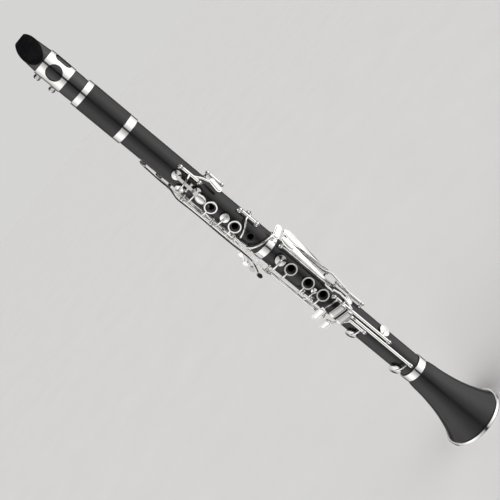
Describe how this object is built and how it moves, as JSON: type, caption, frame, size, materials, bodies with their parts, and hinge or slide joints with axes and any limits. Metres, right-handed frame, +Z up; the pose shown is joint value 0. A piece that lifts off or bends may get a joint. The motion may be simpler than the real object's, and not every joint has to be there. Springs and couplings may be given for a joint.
{
  "type": "clarinet",
  "caption": "Soprano clarinet in black with plated keys: mouthpiece with ligature, barrel, two joints with ring keys, levers and padded cups, and a flared bell.",
  "frame": {"origin": "centre of the bell mouth, on the plane the bell rim stands on", "axes": "+Z up the bore towards the mouthpiece, -Y the front with the finger holes, +X the side of the player's left hand"},
  "size_m": [0.0786, 0.0786, 0.665],
  "materials": {
    "black": "satin",
    "silver": "polished plate",
    "ring_metal": "polished plate",
    "steel": "drawn",
    "cork": "cork",
    "pad": "soft",
    "cane": "cut cane",
    "mouth": "polished"
  },
  "bodies": {
    "instrument": {"upper_joint_body": "black", "lower_joint_body": "black", "bell_body": "black", "bell_rim_ring": "ring_metal", "socket_rings": "ring_metal", "tenon_corks": "cork", "upper_posts": "silver", "lower_posts": "silver", "upper_rods": "steel", "lower_rods": "steel", "needle_springs": "steel", "hole_tubes": "silver", "thumb_rest": "silver", "thumb_rest_screws": "steel"},
    "head": {"barrel_body": "black", "barrel_rings": "ring_metal", "mouthpiece": "mouth", "mouthpiece_cork": "cork", "reed": "cane", "ligature_band": "silver"},
    "ligature_screw_upper": {"ligature_screw_upper": "silver"},
    "ligature_screw_lower": {"ligature_screw_lower": "silver"},
    "first_ring_key": {"first_ring_key": "silver", "first_ring_pad": "pad"},
    "second_ring_key": {"second_ring_key": "silver", "second_ring_pad": "pad"},
    "thumb_ring_key": {"thumb_ring_key": "silver"},
    "g_sharp_key": {"g_sharp_key": "silver", "g_sharp_pad": "pad"},
    "c_sharp_key": {"c_sharp_key": "silver", "c_sharp_pad": "pad"},
    "sliver_key": {"sliver_key": "silver", "sliver_pad": "pad"},
    "lower_ring_key": {"lower_ring_key": "silver", "lower_ring_pad": "pad"},
    "lower_sliver_key": {"lower_sliver_key": "silver", "lower_sliver_pad": "pad"},
    "e_key": {"e_key": "silver", "e_pad": "pad"},
    "f_key": {"f_key": "silver", "f_pad": "pad"},
    "a_flat_key": {"a_flat_key": "silver", "a_flat_pad": "pad"},
    "f_sharp_key": {"f_sharp_key": "silver", "f_sharp_pad": "pad"},
    "left_e_lever": {"left_e_lever": "silver"},
    "left_f_lever": {"left_f_lever": "silver"},
    "register_key": {"register_key": "silver", "register_pad": "pad"},
    "a_key": {"a_key": "silver", "a_pad": "pad"},
    "trill_key_4": {"trill_key_4": "silver", "trill_pad_4": "pad"},
    "trill_key_3": {"trill_key_3": "silver", "trill_pad_3": "pad"},
    "trill_key_2": {"trill_key_2": "silver", "trill_pad_2": "pad"},
    "trill_key_1": {"trill_key_1": "silver", "trill_pad_1": "pad"}
  },
  "joints": [
    {"name": "barrel_slide", "type": "slide", "parent": "instrument", "child": "head", "axis": [0, 0, 1], "range_m": [0, 0.003]},
    {"name": "ligature_screw_upper_turn", "type": "hinge", "parent": "head", "child": "ligature_screw_upper", "pos_m": [0, 0.0186, 0.628], "axis": [1, 0, 0], "range_deg": [-360, 360]},
    {"name": "ligature_screw_lower_turn", "type": "hinge", "parent": "head", "child": "ligature_screw_lower", "pos_m": [0, 0.0186, 0.609], "axis": [1, 0, 0], "range_deg": [-360, 360]},
    {"name": "first_ring_key_hinge", "type": "hinge", "parent": "instrument", "child": "first_ring_key", "pos_m": [-0.01766, -0.00939, 0.4177], "axis": [0, 0, 1], "range_deg": [0, 5], "stiffness_Nm_per_rad": 0.02, "springref_deg": -17.19},
    {"name": "second_ring_key_hinge", "type": "hinge", "parent": "instrument", "child": "second_ring_key", "pos_m": [-0.01766, -0.00939, 0.3817], "axis": [0, 0, 1], "range_deg": [0, 5], "stiffness_Nm_per_rad": 0.02, "springref_deg": -17.19},
    {"name": "thumb_ring_key_hinge", "type": "hinge", "parent": "instrument", "child": "thumb_ring_key", "pos_m": [0.01975, 0.00313, 0.4227], "axis": [0, 0, 1], "range_deg": [0, 5], "stiffness_Nm_per_rad": 0.02, "springref_deg": -17.19},
    {"name": "g_sharp_key_hinge", "type": "hinge", "parent": "instrument", "child": "g_sharp_key", "pos_m": [0.00965, -0.01543, 0.4487], "axis": [0, 0, 1], "range_deg": [0, 6], "stiffness_Nm_per_rad": 0.02, "springref_deg": -17.19},
    {"name": "c_sharp_key_hinge", "type": "hinge", "parent": "instrument", "child": "c_sharp_key", "pos_m": [-0.01308, -0.01178, 0.3577], "axis": [0, 0, 1], "range_deg": [0, 3.2], "stiffness_Nm_per_rad": 0.02, "springref_deg": -17.19},
    {"name": "sliver_key_hinge", "type": "hinge", "parent": "instrument", "child": "sliver_key", "pos_m": [0.01426, -0.01114, 0.3707], "axis": [0, 0, 1], "range_deg": [-5, 0], "stiffness_Nm_per_rad": 0.02, "springref_deg": 17.19},
    {"name": "lower_ring_key_hinge", "type": "hinge", "parent": "instrument", "child": "lower_ring_key", "pos_m": [-0.01854, -0.00826, 0.273], "axis": [0, 0, 1], "range_deg": [0, 5], "stiffness_Nm_per_rad": 0.02, "springref_deg": -17.19},
    {"name": "lower_sliver_key_hinge", "type": "hinge", "parent": "instrument", "child": "lower_sliver_key", "pos_m": [-0.01202, -0.01432, 0.262], "axis": [0, 0, 1], "range_deg": [-9, 0], "stiffness_Nm_per_rad": 0.02, "springref_deg": 17.19},
    {"name": "e_key_hinge", "type": "hinge", "parent": "instrument", "child": "e_key", "pos_m": [0.00318, -0.01802, 0.163], "axis": [0, 0, 1], "range_deg": [-5, 0], "stiffness_Nm_per_rad": 0.02, "springref_deg": 17.19},
    {"name": "f_key_hinge", "type": "hinge", "parent": "instrument", "child": "f_key", "pos_m": [-0.00128, -0.01826, 0.198], "axis": [0, 0, 1], "range_deg": [-5, 0], "stiffness_Nm_per_rad": 0.02, "springref_deg": 17.19},
    {"name": "a_flat_key_hinge", "type": "hinge", "parent": "instrument", "child": "a_flat_key", "pos_m": [0.00802, -0.01645, 0.196], "axis": [0, 0, 1], "range_deg": [-8, 0], "stiffness_Nm_per_rad": 0.02, "springref_deg": 17.19},
    {"name": "f_sharp_key_hinge", "type": "hinge", "parent": "instrument", "child": "f_sharp_key", "pos_m": [0.01931, -0.00271, 0.224], "axis": [0, 0, 1], "range_deg": [-5, 0], "stiffness_Nm_per_rad": 0.02, "springref_deg": 17.19},
    {"name": "left_e_lever_hinge", "type": "hinge", "parent": "instrument", "child": "left_e_lever", "pos_m": [0.01375, -0.01238, 0.287], "axis": [0, 0, 1], "range_deg": [0, 11], "stiffness_Nm_per_rad": 0.02, "springref_deg": -17.19},
    {"name": "left_f_lever_hinge", "type": "hinge", "parent": "instrument", "child": "left_f_lever", "pos_m": [0.01956, 0.00416, 0.281], "axis": [0, 0, 1], "range_deg": [-2.2, 0], "stiffness_Nm_per_rad": 0.02, "springref_deg": 17.19},
    {"name": "register_key_hinge", "type": "hinge", "parent": "instrument", "child": "register_key", "pos_m": [0, 0.0181, 0.4587], "axis": [-1, 0, 0], "range_deg": [0, 4], "stiffness_Nm_per_rad": 0.03, "springref_deg": -28.65},
    {"name": "a_key_hinge", "type": "hinge", "parent": "instrument", "child": "a_key", "pos_m": [-0.00156, -0.01783, 0.4412], "axis": [0.9962, -0.0872, 0], "range_deg": [0, 5], "stiffness_Nm_per_rad": 0.03, "springref_deg": -28.65},
    {"name": "trill_key_4_hinge", "type": "hinge", "parent": "instrument", "child": "trill_key_4", "pos_m": [-0.01751, -0.00372, 0.4557], "axis": [0.2079, -0.9781, 0], "range_deg": [0, 1.5], "stiffness_Nm_per_rad": 0.03, "springref_deg": -28.65},
    {"name": "trill_key_3_hinge", "type": "hinge", "parent": "instrument", "child": "trill_key_3", "pos_m": [-0.01789, 0.00063, 0.4347], "axis": [-0.0349, -0.9994, 0], "range_deg": [0, 2], "stiffness_Nm_per_rad": 0.03, "springref_deg": -28.65},
    {"name": "trill_key_2_hinge", "type": "hinge", "parent": "instrument", "child": "trill_key_2", "pos_m": [-0.01721, 0.00493, 0.4077], "axis": [-0.2756, -0.9613, 0], "range_deg": [0, 2.6], "stiffness_Nm_per_rad": 0.03, "springref_deg": -28.65},
    {"name": "trill_key_1_hinge", "type": "hinge", "parent": "instrument", "child": "trill_key_1", "pos_m": [-0.0155, 0.00895, 0.3777], "axis": [-0.5, -0.866, 0], "range_deg": [0, 3.5], "stiffness_Nm_per_rad": 0.03, "springref_deg": -28.65}
  ],
  "couplings": [
    {"joint": "second_ring_key_hinge", "follows": "lower_ring_key_hinge", "ratio": 1},
    {"joint": "left_e_lever_hinge", "follows": "e_key_hinge", "ratio": -2.2},
    {"joint": "left_f_lever_hinge", "follows": "f_sharp_key_hinge", "ratio": 0.4}
  ]
}
